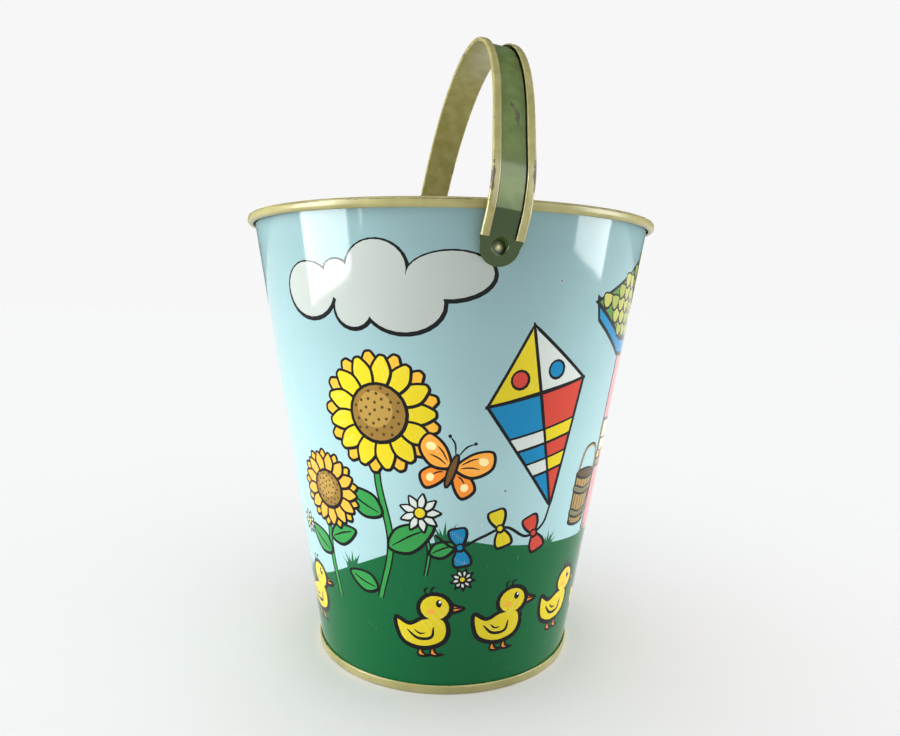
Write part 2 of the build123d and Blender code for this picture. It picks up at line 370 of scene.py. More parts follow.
def finish(name, colour, grain_strength, scratches, chips, wear, rough, metal=0.0, shine=0.5):
    """Material: colour(tree) gives the paint's colour, and its dots where it is screened; the rest are
    amounts."""
    material = bpy.data.materials.new(name)
    material.use_nodes = True
    tree = material.node_tree
    tree.nodes.clear()
    where = add(tree, "TexCoord").outputs["Object"]
    edge = add(tree, "Attribute", attribute_name="edge").outputs["Fac"]
    paint, screened = colour(tree)
    grain = use(
        tree, ink_grain, Color=paint, Vector=where, Strength=grain_strength,
        Dots=0.0 if screened is None else screened
    )
    marks = use(tree, varnish_marks, Vector=where, Scratches=scratches, Chips=chips)
    folds = use(tree, fold_wear, Vector=where, Edge=edge, Amount=wear)
    pale = blend(tree, times(tree, marks["Halo"], 0.35), grain["Color"], (0.75, 0.80, 0.74, 1.0))
    dark = blend(tree, times(tree, marks["Chip"], 0.85), pale, linear("#3C3A30"))
    hair = blend(tree, times(tree, marks["Scratch"], 0.30), dark, (0.80, 0.82, 0.76, 1.0))
    scuffed = blend(tree, times(tree, folds["Worn"], 0.85), hair, bare_metal)
    rusted = blend(tree, times(tree, folds["Rust"], 0.7), scuffed, rust)
    duller = calc(
        tree, "ADD", times(tree, folds["Worn"], 0.4), times(tree, marks["Scratch"], 0.3)
    )
    roughness = plus(tree, plus(tree, grain["Rough"], duller), rough, clamp=True)
    ripple = times(tree, noise(tree, where, 48, detail=2), 0.5)
    dents = calc(
        tree, "ADD", times(tree, marks["Chip"], -0.12),
        times(tree, folds["Worn"], -0.10)
    )
    cuts = plus(tree, dents, times(tree, marks["Scratch"], -0.06))
    height = plus(tree, ripple, cuts)
    bump = add(tree, "Bump", {"Height": height, "Strength": 0.35, "Distance": 0.0004})
    inputs = {
        "Base Color": rusted,
        "Roughness": roughness,
        "Metallic": metal,
        "Specular IOR Level": shine,
        "Normal": bump.outputs[0],
    }
    shader = add(tree, "BsdfPrincipled", inputs)
    add(tree, "OutputMaterial", {"Surface": shader.outputs[0]})
    return material


# %% Printed tin, cream lacquer, green enamel and the rivets' plating
def ink_colour(tree):
    """Ink stored per face corner; its alpha is high where the ink is screened in dots."""
    node = add(tree, "Attribute", attribute_name="ink")
    return node.outputs["Color"], node.outputs["Alpha"]


def bail_colour(tree):
    """Green outside, mottled along the strap and darker at its ends, which is painted shade, with a painted
    shadow line under the hems; cream on the back and the hems."""
    side = add(tree, "Attribute", attribute_name="side").outputs["Fac"]
    where = add(tree, "TexCoord").outputs["Object"]
    brushed = ramp(tree, noise(tree, where, 160, detail=3), 0.35, 0.7)
    painted_ear_shade = add(tree, "Attribute", attribute_name="painted_ear_shade").outputs["Fac"]
    painted_hem_shadow = add(tree, "Attribute", attribute_name="painted_hem_shadow").outputs["Fac"]
    strap_green = blend(tree, brushed, linear("#5D7330"), linear("#6D833F"))
    # The darker green at the ends is painted shade, and the near-black under the hems is a painted shadow.
    green = blend(tree, painted_hem_shadow, blend(tree, painted_ear_shade, strap_green, linear("#2E4315")), linear("#12160B"))
    cream = blend(tree, brushed, linear("#948D55"), linear("#A39C66"))
    return blend(tree, side, cream, green), None


def cream_colour(tree):
    """Cream lacquer, faintly clouded."""
    where = add(tree, "TexCoord").outputs["Object"]
    cloud = ramp(tree, noise(tree, where, 60, detail=3), 0.3, 0.7)
    return blend(tree, cloud, linear("#918B5A"), linear("#9F9967")), None


def plating_colour(tree):
    """Pale dull plating, darker in blotches."""
    where = add(tree, "TexCoord").outputs["Object"]
    tarnish = ramp(tree, noise(tree, where, 900, detail=3), 0.45, 0.75)
    return blend(tree, tarnish, linear("#D8CF9E"), linear("#9A9065")), None


printed_tin = finish(
    "printed_tin", ink_colour,
    grain_strength=0.16, scratches=0.35, chips=0.45, wear=0.0, rough=0.045, shine=0.24,
)
cream_tin = finish(
    "cream_tin", cream_colour,
    grain_strength=0.14, scratches=0.5, chips=0.5, wear=0.36, rough=0.24, shine=0.28,
)
green_tin = finish(
    "green_tin", bail_colour,
    grain_strength=0.16, scratches=0.6, chips=0.6, wear=0.36, rough=0.22,
)
rivet_metal = finish(
    "rivet_metal", plating_colour,
    grain_strength=0.2, scratches=0.6, chips=0.0, wear=0.3, rough=0.34, metal=0.15,
)
print("finishes:", [m.name for m in bpy.data.materials])

# %% [markdown]
# ## The printed picture
#
# The wall unrolls into a flat fan, as every cone does: distances from the fan's tip stay true, and the turn
# round the bucket shrinks to the sine of the cone's angle. Each motif is drawn flat in millimetres, laid on
# that fan where it belongs, and rolled up with the sheet. The picture is not a texture. Its outlines are
# edges in the mesh, cut by one constrained triangulation, so a line stays crisp at any distance, and every
# triangle carries one ink.

# %% From a flat drawing to the sheet, and to the wall
sine, cosine = math.sin(wall_angle), math.cos(wall_angle)
middle_radius = 76.0
curl_radius = 1.5
curl_centre = np.array([rim_reach - curl_radius - sheet / 2, rim_top - curl_radius - sheet / 2])
print_low = 2.0
print_high = curl_centre[1] + (curl_radius - sheet / 2) * sine
BLACK, WHITE, PALE = "#050708", "#C6CEC6", "#C0C8C2"
YELLOW, ORANGE, RED, BLUE, LEAF_GREEN = "#D2BE1E", "#E8862A", "#BE3E30", "#0478A6", "#2E8A42"


def turned(angle):
    """Matrix that turns row vectors anticlockwise by an angle in radians."""
    return np.array([[math.cos(angle), math.sin(angle)], [-math.sin(angle), math.cos(angle)]])


def at(azimuth, height, turn=0.0, scale=1.0):
    """Layout of a motif. A point (x, y) lies hypot(x, d + y) from the fan's tip, at the angle of (x, d +
    y)."""
    distance = wall_radius(height) / sine
    spin = turned(math.radians(turn)) * scale

    def lay(shape):
        flat = np.asarray(shape, float) @ spin
        far = np.hypot(flat[:, 0], distance + flat[:, 1])
        round_it = np.arctan2(flat[:, 0], distance + flat[:, 1]) / sine + math.radians(azimuth)
        return np.stack([round_it * middle_radius, far - floor_radius / sine], -1)

    return lay


def rolled_up(spots):
    """Points of the sheet on the cone: radius grows by the sine of the slant, height by its cosine."""
    round_it, slant = spots[:, 0] / middle_radius, spots[:, 1]
    radius = floor_radius + slant * sine
    return np.stack([radius * np.sin(round_it), -radius * np.cos(round_it), slant * cosine], -1)


print(f"fan of {2 * math.pi * sine:.3f} rad, printed from {print_low:.1f} to {print_high:.2f} mm up")

# %% Outlines: smooth rings, straight-sided shapes, ellipses and strokes
inks = []


def smooth(points, step=0.9, closed=True):
    """Catmull-Rom curve through a few points: each span is the cubic that leaves along its neighbours'
    chord."""
    p = np.asarray(points, float)
    if closed:
        p = np.concatenate([p[-1:], p, p[:2]])
    else:
        p = np.concatenate([2 * p[:1] - p[1:2], p, 2 * p[-1:] - p[-2:-1]])
    a, b, c, d = p[:-3], p[1:-2], p[2:-1], p[3:]
    count = max(3, int(np.linalg.norm(c - b, axis=1).max() / step))
    t = np.linspace(0, 1, count, endpoint=False)[None, :, None]
    a, b, c, d = (q[:, None] for q in (a, b, c, d))
    curve = b + 0.5 * t * (c - a + t * (2 * a - 5 * b + 4 * c - d + t * (3 * (b - c) + d - a)))
    curve = curve.reshape(-1, 2)
    return curve if closed else np.concatenate([curve, p[-2:-1]])


def straight(points, step=3.0):
    """Closed shape with straight sides, each divided evenly so that it can bend with the wall."""
    p = np.asarray(points, float)
    q = np.roll(p, -1, 0)
    count = max(1, int(np.linalg.norm(q - p, axis=1).max() / step))
    t = np.linspace(0, 1, count, endpoint=False)[None, :, None]
    return (p[:, None] + (q - p)[:, None] * t).reshape(-1, 2)


def block(left, low, right, high, step=3.0):
    """Rectangle by its sides."""
    return straight([(left, low), (right, low), (right, high), (left, high)], step)


def ellipse(x, y, across, up=None):
    """Ellipse by its centre and half axes."""
    up = across if up is None else up
    count = int(np.clip(5 * math.sqrt(across + up), 8, 40))
    t = np.linspace(0, 2 * math.pi, count, endpoint=False)
    return np.stack([x + across * np.cos(t), y + up * np.sin(t)], -1)


def anticlockwise(shape):
    """The same outline, turned round if its signed area is negative."""
    x, y = shape[:, 0], shape[:, 1]
    area = (x * np.roll(y, -1) - y * np.roll(x, -1)).sum()
    return shape if area > 0 else shape[::-1]


def grown(shape, distance):
    """Outline moved out by a distance: each point slides along its mitre, the sum of its two sides'
    normals."""
    shape = anticlockwise(shape)
    ahead = np.roll(shape, -1, 0) - shape
    ahead /= np.linalg.norm(ahead, axis=1)[:, None]
    normal = np.stack([ahead[:, 1], -ahead[:, 0]], -1)
    before = np.roll(normal, 1, 0)
    return shape + distance * (normal + before) / np.maximum(1 + (normal * before).sum(1), 0.4)[:, None]


def stroke(points, width, tip=0.25):
    """Brush line: a smooth path with its width swelling from the tips to the middle."""
    path = smooth(points, closed=False)
    t = np.linspace(0, 1, len(path))[:, None]
    half = width / 2 * (tip + (1 - tip) * np.sin(math.pi * t) ** 0.6)
    side = left_of(path) * half
    return np.concatenate([path + side, (path - side)[::-1]])


def paint(lay, shape, ink, dots=0.0):
    """Lays one shape on the sheet, over those before it."""
    inks.append((anticlockwise(lay(shape)), (*linear(ink)[:3], dots)))


def brush(lay, width, *points, ink=BLACK, tip=0.25):
    """One brush line through a few points."""
    paint(lay, stroke(points, width, tip), ink)


def draw(lay, ink, *shapes, line=1.5, dots=0.0):
    """Shapes with a black line round them all: every shape grown in black first, then every shape in its
    ink."""
    for shape in shapes:
        paint(lay, grown(shape, line / 2) + [0.12, -0.15], BLACK)
    for shape in shapes:
        paint(lay, grown(shape, -line / 2), ink, dots)


# %% [markdown]
# The motifs are plain nursery shapes: clouds, flowers, a butterfly, a kite, a wooden pail, ducklings, a
# cottage, a tree and a fence. Each is a short function, so it can be used again at another place, size and
# turn. Black lines are heavier below and to the right, as an ink brush leaves them.

# %% Clouds, flowers and leaves
def cloud(lay, lobes):
    """Overlapping ellipses under one line, heavier below."""
    for x, y, across, up in lobes:
        paint(lay, ellipse(x + 0.3, y - 0.5, across + 0.9, up + 0.8), BLACK)
    for x, y, across, up in lobes:
        # The clouds' white is given as this grey, which is painted shade.
        paint(lay, ellipse(x, y, across - 0.4, up - 0.4), "#A6AEA8")


def petals(lay, x, y, inner, outer, count, ink, width, first=0.0, line=1.2):
    """Ring of petals: each one a smooth leaf from the inner to the outer radius."""
    for k in range(count):
        turn = turned(math.radians(first) + 2 * math.pi * k / count)
        middle = inner + (outer - inner) * 0.5
        leaf = [(inner, -width * 0.5), (middle, -width), (outer - 1, -width * 0.45), (outer, 0)]
        leaf += [(outer - 1, width * 0.45), (middle, width), (inner, width * 0.5)]
        draw(lay, ink, smooth(leaf) @ turn + [x, y], line=line, dots=0.8)


golden_angle = 2.39996


def sunflower(lay, x, y, size, ink=YELLOW):
    """Two rings of petals round a brown heart with seeds on a spiral of golden angles."""
    petals(lay, x, y, size * 0.45, size, 13, "#E0A82C", size * 0.17, first=14)
    petals(lay, x, y, size * 0.42, size * 0.94, 13, ink, size * 0.17)
    draw(lay, "#8A6A2E", ellipse(x, y, size * 0.48), line=1.4)
    paint(lay, ellipse(x - size * 0.05, y + size * 0.06, size * 0.30), "#A5853F")
    for k in range(1, 34):
        angle, far = k * golden_angle, size * 0.073 * math.sqrt(k)
        seed = ellipse(x + far * math.cos(angle), y + far * math.sin(angle), size * 0.022 + 0.12)
        paint(lay, seed, "#4A3A1C")


def daisy(lay, x, y, size, ink=WHITE):
    """White petals round a yellow heart."""
    petals(lay, x, y, size * 0.2, size, 9, ink, size * 0.2, first=x * 7, line=0.9)
    draw(lay, YELLOW, ellipse(x, y, size * 0.3), line=0.9, dots=0.7)


def leaf(lay, x, y, length, width, turn, ink=LEAF_GREEN):
    """Pointed leaf with a midrib."""
    spin = turned(math.radians(turn))
    outline = [(0, 0), (length * 0.3, width * 0.48), (length * 0.7, width * 0.38), (length, 0)]
    outline += [(length * 0.7, -width * 0.38), (length * 0.3, -width * 0.48)]
    draw(lay, ink, smooth(outline) @ spin + [x, y], line=1.3)
    rib = stroke(
        np.array([(length * 0.08, 0), (length * 0.5, width * 0.05), (length * 0.85, 0)]) @ spin + [x, y], 0.8
    )
    paint(lay, rib, BLACK)


# %% Butterfly, ducklings and the kite
def butterfly(lay):
    """Two pairs of orange wings with pale spots, a dark body and feelers."""
    for way in (-1, 1):
        upper = np.array([(1, 1), (6, 9), (14, 12), (16, 5), (9, -1)]) * [way, 1]
        lower = np.array([(1, -1), (8, -1), (12, -6), (8, -11), (3, -7)]) * [way, 1]
        draw(lay, ORANGE, smooth(lower), line=1.3)
        draw(lay, "#EFA03A", smooth(upper), line=1.3, dots=0.6)
        paint(lay, ellipse(11.5 * way, 7, 2.2, 1.8), "#F4DFA0")
        paint(lay, ellipse(7.5 * way, -6, 1.7, 1.9), "#F4DFA0")
        brush(lay, 0.8, (0.5 * way, 6), (2.5 * way, 11), (5.5 * way, 13.5))
        paint(lay, ellipse(5.6 * way, 13.6, 0.8), BLACK)
        for reach_in in ((3, 3, 9, 8), (3, 1.5, 11, 3.5), (3, -2, 7, -4.5)):
            x0, y0, x1, y1 = reach_in
            brush(lay, 0.7, (x0 * way, y0), ((x0 + x1) / 2 * way, (y0 + y1) / 2 + 0.6), (x1 * way, y1))
    draw(lay, "#6B4A22", ellipse(0, -0.5, 1.7, 7.6), line=1.0)


def duckling(lay):
    """Round yellow body and head under one heavy line, with a beak, an eye, a wing and feet."""
    for x in (-2.5, 3.0):
        draw(
            lay, "#E2872B",
            smooth([(x, 1), (x + 1.2, -2.4), (x + 4.0, -3.4), (x + 0.4, -3.9), (x - 1.4, -2.6)]), line=1.1
        )
    body = smooth(
        [
            (-12.4, 15.4), (-12.6, 9.5), (-9.5, 3.0), (-1.0, 0.2), (7.6, 2.6), (10.6, 8.6), (8.6, 15),
            (0, 15.5), (-6.5, 12.6)
        ]
    )
    head = ellipse(5.4, 20.2, 7.4, 7.0)
    beak = smooth([(11.2, 22.4), (15.0, 20.6), (18.2, 19.0), (15.4, 17.6), (11.4, 17.6)])
    draw(lay, ORANGE, beak, line=1.4)
    draw(lay, YELLOW, body, head, line=2.1, dots=1.0)
    brush(lay, 0.8, (12.0, 19.4), (14.6, 19.4), (17.0, 18.9))
    brush(lay, 1.5, (-7.8, 9.4), (-3.2, 5.2), (2.8, 5.6), (4.2, 10.6))
    brush(lay, 0.9, (-4.6, 9.6), (-2.2, 7.6), (0.4, 7.8))
    brush(lay, 1.1, (2.4, 26.6), (1.6, 29.0), (3.2, 30.4))
    brush(lay, 1.0, (4.6, 27.0), (4.8, 29.6), (6.8, 30.4))
    paint(lay, ellipse(7.4, 22.2, 1.35, 1.9), BLACK)
    paint(lay, ellipse(7.9, 23.0, 0.5, 0.6), "#EEF2EC")
    paint(lay, ellipse(3.6, 18.4, 1.9, 1.4), "#E6A33A")


def kite(lay):
    """Diamond in four colours on crossed spars, with a face of two plain stripes."""
    top, right, foot, left, cross = (0, 44), (26, 12), (0, -46), (-26, 12), (0, 12)
    for corner_a, corner_b, ink in (
        (top, left, "#CFBC1C"),
        (right, top, PALE),
        (left, foot, BLUE),
        (foot, right, RED),
    ):
        draw(lay, ink, straight([corner_a, corner_b, cross]), line=1.6, dots=0.9 if ink == "#CFBC1C" else 0)
    for low, high in ((0.30, 0.42), (0.55, 0.67)):
        bands = [np.array(cross) * (1 - t) + np.array(foot) * t for t in (low, high)]
        sides = [np.array(right) * (1 - t) + np.array(foot) * t for t in (low, high)]
        draw(lay, "#CFBC1C", straight([bands[0], bands[1], sides[1], sides[0]]), line=1.2)
        sides = [np.array(left) * (1 - t) + np.array(foot) * t for t in (low, high)]
        draw(lay, PALE, straight([bands[0], bands[1], sides[1], sides[0]]), line=1.2)
    draw(lay, RED, ellipse(-9.5, 21, 4.2), line=1.2)
    draw(lay, BLUE, ellipse(9.5, 21, 4.2), line=1.2)
    brush(lay, 1.3, (0, 45), (0.3, 12), (0, -46), tip=0.7)
    brush(lay, 1.3, (-26, 12), (0, 12.6), (26, 12), tip=0.7)


def tail(lay, path, bows):
    """Wavy string with bows: each bow two lobes and a knot."""
    line = smooth(path, closed=False)
    paint(lay, stroke(path, 1.3, tip=0.8), BLACK)
    for share, ink in bows:
        k = int(share * (len(line) - 2))
        x, y = line[k]
        step = line[k + 1] - line[k]
        turn = math.degrees(math.atan2(step[1], step[0])) + 90
        for way in (0, 180):
            spin = turned(math.radians(turn + way))
            lobe = smooth([(0, 0), (4, 3.2), (8, 3.4), (8.6, 0), (8, -3.4), (4, -3.2)])
            draw(lay, ink, lobe @ spin + [x, y], line=1.2, dots=0.5)
        draw(lay, ink, ellipse(x, y, 1.7), line=1.0)


# %% Wooden pail, cottage, tree, fence and sky
def wooden_pail(lay):
    """Staves between two hoops, with a dark mouth and an arched handle."""
    brush(lay, 1.8, (-8, 9), (-6, 19), (0, 22), (6, 19), (8, 9), tip=0.8)
    brush(lay, 0.8, (-8, 9.5), (-6, 18.6), (0, 21.5), (6, 18.6), (8, 9.5), ink="#A38B5B", tip=0.8)
    draw(
        lay, "#9C8046", straight([(-9, 9), (9, 9), (6.8, -13), (-6.8, -13)]), ellipse(0, -13, 6.8, 1.6),
        line=1.3
    )
    draw(lay, "#4E3C1C", ellipse(0, 9, 9, 2.4), line=1.1)
    for x in (-5.6, -2.8, 0, 2.8, 5.6):
        brush(lay, 0.75, (x * 1.1, 6), (x, -4), (x * 0.86, -13.6), ink="#4E3C1C", tip=0.7)
    for y, half in ((2.6, 8.3), (-8.2, 7.2)):
        band = [
            (-half, y + 1.2), (0, y - 0.4), (half, y + 1.2), (half - 0.3, y - 1.6), (0, y - 3.2),
            (0.3 - half, y - 1.6)
        ]
        draw(lay, "#6E6A4A", smooth(band, 1.5), line=0.9)


def cottage(lay):
    """Pink walls under a scalloped roof with blue boards, a door, a window and a chimney."""
    draw(lay, "#B4533C", block(22, 60, 33, 82), line=1.5)
    draw(lay, "#8E8C84", block(20.5, 82, 34.5, 86), line=1.3)
    draw(lay, "#C98486", straight([(-32, 40), (40, 40), (38, -58), (-30, -58)]), line=1.6)
    for x, y in ((-24, 12), (-23, -20), (33, 22), (31, -44), (-12, 30), (4, -4)):
        brush(lay, 0.8, (x, y), (x + 3, y + 0.5), (x + 6, y), ink="#8E5A60")
        brush(lay, 0.7, (x + 1, y - 2.6), (x + 4, y - 2.2), (x + 7, y - 2.8), ink="#8E5A60")
    roof = [(-64, 47), (-14, 76), (44, 76), (72, 43), (46, 34), (-36, 34)]
    draw(
        lay, BLUE,
        straight([(-64, 49), (-36, 37), (46, 37), (74, 46), (72, 37), (44, 27), (-34, 27), (-60, 40)]),
        line=1.6
    )
    draw(lay, "#4C7A34", straight(roof), line=1.6)
    for row in range(8):
        y = 37.5 + row * 5.2
        left_edge = np.interp(
            y, [34, 47, 76], [-36, -62, -14]
        ) if y > 47 else np.interp(y, [34, 47], [-36, -62])
        right_edge = np.interp(y, [34, 43, 76], [46, 70, 42])
        count = max(2, int((right_edge - left_edge) / 7.4))
        for k in range(count):
            x = left_edge + 4 + (right_edge - left_edge - 8) * (k + 0.5 * (row % 2)) / count
            tile = smooth(
                [(x - 3.2, y + 3.2), (x - 3.0, y - 0.6), (x, y - 2.8), (x + 3.0, y - 0.6), (x + 3.2, y + 3.2)]
            )
            draw(lay, "#A5A652" if (k + row) % 3 else "#909B44", tile, line=0.9)
    draw(lay, "#2D7F9E", block(-8, -58, 10, -20), ellipse(1, -20, 9, 8), line=1.6)
    for x in (-3.4, 1.0, 5.4):
        brush(lay, 0.8, (x, -15), (x + 0.2, -36), (x, -57), tip=0.7)
    draw(lay, YELLOW, ellipse(7, -38, 1.3), line=0.8)
    for x, y in ((-21, -12), (24, -12)):
        draw(lay, "#F2E9B0", block(x - 8, y - 9, x + 8, y + 9), line=1.8)
        brush(lay, 1.2, (x, y - 9), (x + 0.1, y), (x, y + 9), tip=0.9)
        brush(lay, 1.2, (x - 8, y), (x, y + 0.1), (x + 8, y), tip=0.9)
        draw(lay, "#8C6A34", block(x - 9.5, y - 13, x + 9.5, y - 9.4), line=1.1)
        for k in range(4):
            draw(lay, RED if k % 2 else YELLOW, ellipse(x - 6.6 + 4.4 * k, y - 7.4, 2.2), line=0.8)


def tree(lay):
    """Trunk with a fork, a crown of lobes, and red apples."""
    trunk = [
        (-5, -50), (-3.2, -28), (-8, -8), (-3.5, -7), (0, -16), (5, -6), (8.5, -8), (4.4, -26), (6.4, -50)
    ]
    draw(lay, "#7C5C30", smooth(trunk), line=1.6)
    brush(lay, 0.9, (-0.5, -44), (0.6, -32), (-0.6, -22))
    lobes = [
        (0, 12, 22, 19), (-20, 4, 14, 12), (20, 3, 14, 12), (-12, 22, 14, 12), (13, 22, 14, 12),
        (0, -2, 16, 10)
    ]
    draw(lay, "#2C8438", *[ellipse(*lobe) for lobe in lobes], line=1.8)
    for x, y in ((-16, 18), (2, 26), (16, 16), (-6, 6), (10, 0), (-24, 2), (24, 4)):
        brush(lay, 0.9, (x - 4, y + 3), (x, y + 5.4), (x + 4, y + 3.4), ink="#12502A")
    for x, y in ((-14, 9), (-2, 17), (12, 10), (3, -1), (-23, -1), (22, -2), (-9, 26), (14, 25)):
        draw(lay, "#CC3F34", ellipse(x, y, 3.1), line=1.1)
        paint(lay, ellipse(x - 0.9, y + 0.9, 0.8, 0.6), "#F0C8B8")


def fence(lay, count, pitch=8.5):
    """Row of pointed pales on two rails."""
    length = count * pitch
    for y in (6, 17):
        draw(lay, "#C0C8C0", block(-1, y, length, y + 3), line=1.1)
    for k in range(count):
        x = k * pitch + 1.5
        draw(
            lay, "#C6CCC4", straight([(x, 0), (x + 4.6, 0), (x + 4.6, 22), (x + 2.3, 26), (x, 22)]), line=1.2
        )


def sun(lay):
    """Yellow disc in a ring of rays."""
    petals(lay, 0, 0, 12, 21, 12, "#E7B234", 2.2)
    draw(lay, YELLOW, ellipse(0, 0, 12), line=1.6, dots=1.0)


def bird(lay):
    """Two wing strokes."""
    brush(lay, 1.2, (-7, 2), (-3.5, 4.2), (0, 0), (3.5, 4.4), (7, 2.4))


def tuft(lay):
    """Seven blades fanned from one root."""
    for k, lean_out in enumerate((-7, -4.6, -2, 0.6, 3, 5.2, 7.4)):
        high = (5, 8, 6.4, 9.4, 7, 8.4, 4.8)[k]
        blade = [(lean_out * 0.35 - 0.9, -1.5), (lean_out * 0.5 - 0.6, high * 0.5), (lean_out, high)]
        blade += [(lean_out * 0.5 + 0.7, high * 0.45), (lean_out * 0.35 + 0.9, -1.5)]
        paint(lay, straight(blade), "#155E38")


def ball(lay, size=13):
    """Beach ball: a disc cut by curved gores."""
    draw(lay, PALE, ellipse(0, 0, size), line=1.8)
    for k, ink in ((0, RED), (2, BLUE), (4, YELLOW)):
        a = 2 * math.pi * k / 6 + 0.4
        b = a + math.pi / 3
        rim = [(size * 0.94 * math.cos(t), size * 0.94 * math.sin(t)) for t in np.linspace(a, b, 5)]
        draw(lay, ink, smooth([(0.5, 0.8), *rim], 1.2), line=1.0)
    draw(lay, "#C6CCC4", ellipse(0.3, 0.6, 2.4), line=1.1)


# %% [markdown]
# Now the sheet is composed, from the far things to the near ones: sky, clouds and sun, the house and the
# trees, the grass with its rolling edge, and then what stands on it. The grass meets itself at the side seam.

# %% The sheet, from the sky to the grass
cloud(
    at(-28, 171),
    [
        (-33.6, -2, 13.4, 11.2), (-19, 6, 6, 4.6), (-2, 7, 12.6, 11), (26.4, 4.2, 16.8, 9.2),
        (-12.2, -8, 8.4, 7.8), (8.6, -6, 15.8, 11.2), (-8, 0, 16, 8)
    ],
)
cloud(at(142, 170), [(-22, 0, 12, 9), (-6, 6, 13, 11), (12, 3, 14, 9), (0, -5, 16, 8), (24, -2, 9, 6)])
cloud(at(-148, 182), [(-3, 0, 9, 6), (6, 3, 9, 7), (14, -1, 8, 5)])
sun(at(-112, 172))
for azimuth, height, size in (
    (172, 148, 1.0), (181, 156, 0.75), (164, 158, 0.6), (-84, 186, 0.8), (-91, 178, 0.6)
):
    bird(at(azimuth, height, scale=size))
cottage(at(75, 117.5))

hill = [
    (-178, 48), (-158, 50), (-130, 56), (-104, 46), (-84, 40), (-62, 45), (-42, 56), (-24, 66), (-8, 71),
    (8, 68)
]
hill += [(30, 65), (52, 63), (80, 61), (108, 60), (134, 66), (160, 64), (182, 52), (202, 50), (222, 56)]
edge_line = smooth([(math.radians(a) * middle_radius, z / cosine) for a, z in hill], 2.0, closed=False)
ends = [(edge_line[-1][0], -20), (edge_line[0][0], -20)]
inks.append((anticlockwise(np.concatenate([edge_line, ends])), (*linear("#005A30")[:3], 0.0)))

tree(at(-118, 102))
fence(at(131, 56), 11)
for azimuth, height, size in (
    (-11, 70, 1.0), (-45, 53, 0.9), (27, 64, 0.8), (52, 61, 0.9), (-76, 40, 0.8), (108, 58, 1.0), (
        -140, 52, 1.0
    ), (196, 49, 0.9), (-96, 43, 0.7),
):
    tuft(at(azimuth, height, scale=size))
print(len(inks), "shapes so far")

# %% What stands on the grass
garden = at(-32, 88)
for path, width in (
    ([(-2, -46), (4, -20), (0, 8), (2, 30)], 3.4), ([(-24, -52), (-28, -30), (-27, -8)], 3.0),
    ([(18, -34), (20, -22), (17, -10)], 2.2)
):
    paint(garden, stroke(path, width, tip=0.8), BLACK)
    paint(garden, stroke(path, width - 1.5, tip=0.8), LEAF_GREEN)
for x, y, length, width, turn in (
    (3, -22, 22, 12, 28), (1, -8, 20, 11, 152), (-28, -32, 17, 10, 150),
    (-27, -24, 16, 9, 24), (-3, -42, 15, 9, 160), (20, -24, 12, 7, 20),
):
    leaf(garden, x, y, length, width, turn)
sunflower(garden, 2, 35, 25)
sunflower(garden, -27, -2, 17.5, ink="#EFA63A")
for x, y, size in ((17, -6, 8.5), (-47, -24, 5.5), (33, -36, 5.0)):
    daisy(garden, x, y, size)
butterfly(at(-9, 101, turn=-18, scale=0.95))

bows = [(0.28, RED), (0.55, YELLOW), (0.82, BLUE)]
tail(at(18, 121), [(9.8, -39), (7, -47), (-1, -51), (-11, -46), (-21, -50), (-31, -55), (-40, -50)], bows)
kite(at(18, 121, turn=14, scale=0.88))
wooden_pail(at(44, 84, turn=-6))
# Thirteen places go round the foot. One falls on the seam and one under the sunflowers, so those two stay
# empty.
places = 13
for k in (-4, -3, -2, *range(8)):
    duckling(at(-17 + k * 360 / places, 21.5 + 1.5 * (k % 3), turn=4 - 4 * (k % 3), scale=0.94))
ball(at(-138, 63), 12)
for azimuth, height, size in (
    (112, 52, 6), (170, 52, 5), (192, 44, 4.6), (-150, 44, 5), (60, 53, 5), (-86, 44, 4.4), (96, 52, 4.6)
):
    daisy(at(azimuth, height), 0, 0, size, ink=WHITE if size > 5.4 else "#E9A0A8")
print(len(inks), "shapes in the picture")

# %% The seam's unprinted margin, at both ends of the sheet
for azimuth in (side_seam, side_seam + 360):
    middle = math.radians(azimuth) * middle_radius
    for half, ink in ((1.1, "#B4B08A"), (0.22, "#3A3A30")):
        margin = block(middle - half, -5, middle + half, 220, step=8)
        inks.append((margin, (*linear(ink)[:3], 0.0)))

# %% One triangulation of the whole sheet
panels = 4
spacing = 4.0
first, last = (math.radians(side_seam + turn) * middle_radius for turn in (0, 360))
low, high = print_low / cosine, print_high / cosine
columns = np.linspace(first, last, panels * round((last - first) / spacing / panels) + 1)
rows = np.linspace(low, high, round((high - low) / spacing) + 1)
grid = np.stack(np.meshgrid(columns, rows, indexing="ij"), -1)
index = np.arange(grid.shape[0] * grid.shape[1]).reshape(grid.shape[:2])
cuts = index[:: (len(columns) - 1) // panels]
fixed = [np.stack([cuts[:, :-1].ravel(), cuts[:, 1:].ravel()], -1)]
fixed += [np.stack([index[:-1, k], index[1:, k]], -1) for k in (0, -1)]
points, edges = [grid.reshape(-1, 2)], fixed
start = grid.shape[0] * grid.shape[1]
for outline, _ in inks:
    count = len(outline)
    here = start + np.arange(count)
    points.append(outline)
    edges.append(np.stack([here, np.roll(here, -1)], -1))
    start += count
points, edges = np.concatenate(points), np.concatenate(edges)
made = delaunay_2d_cdt([Vector(p) for p in points.tolist()], edges.tolist(), [], 0, 1e-4)
spots = np.array([tuple(p) for p in made[0]])
triangles = np.array(made[2])
centres = spots[triangles].mean(1)
inside = (centres[:, 0] > first) & (centres[:, 0] < last) & (centres[:, 1] > low) & (centres[:, 1] < high)
triangles, centres = triangles[inside], centres[inside]
print(len(points), "points,", len(triangles), "triangles")


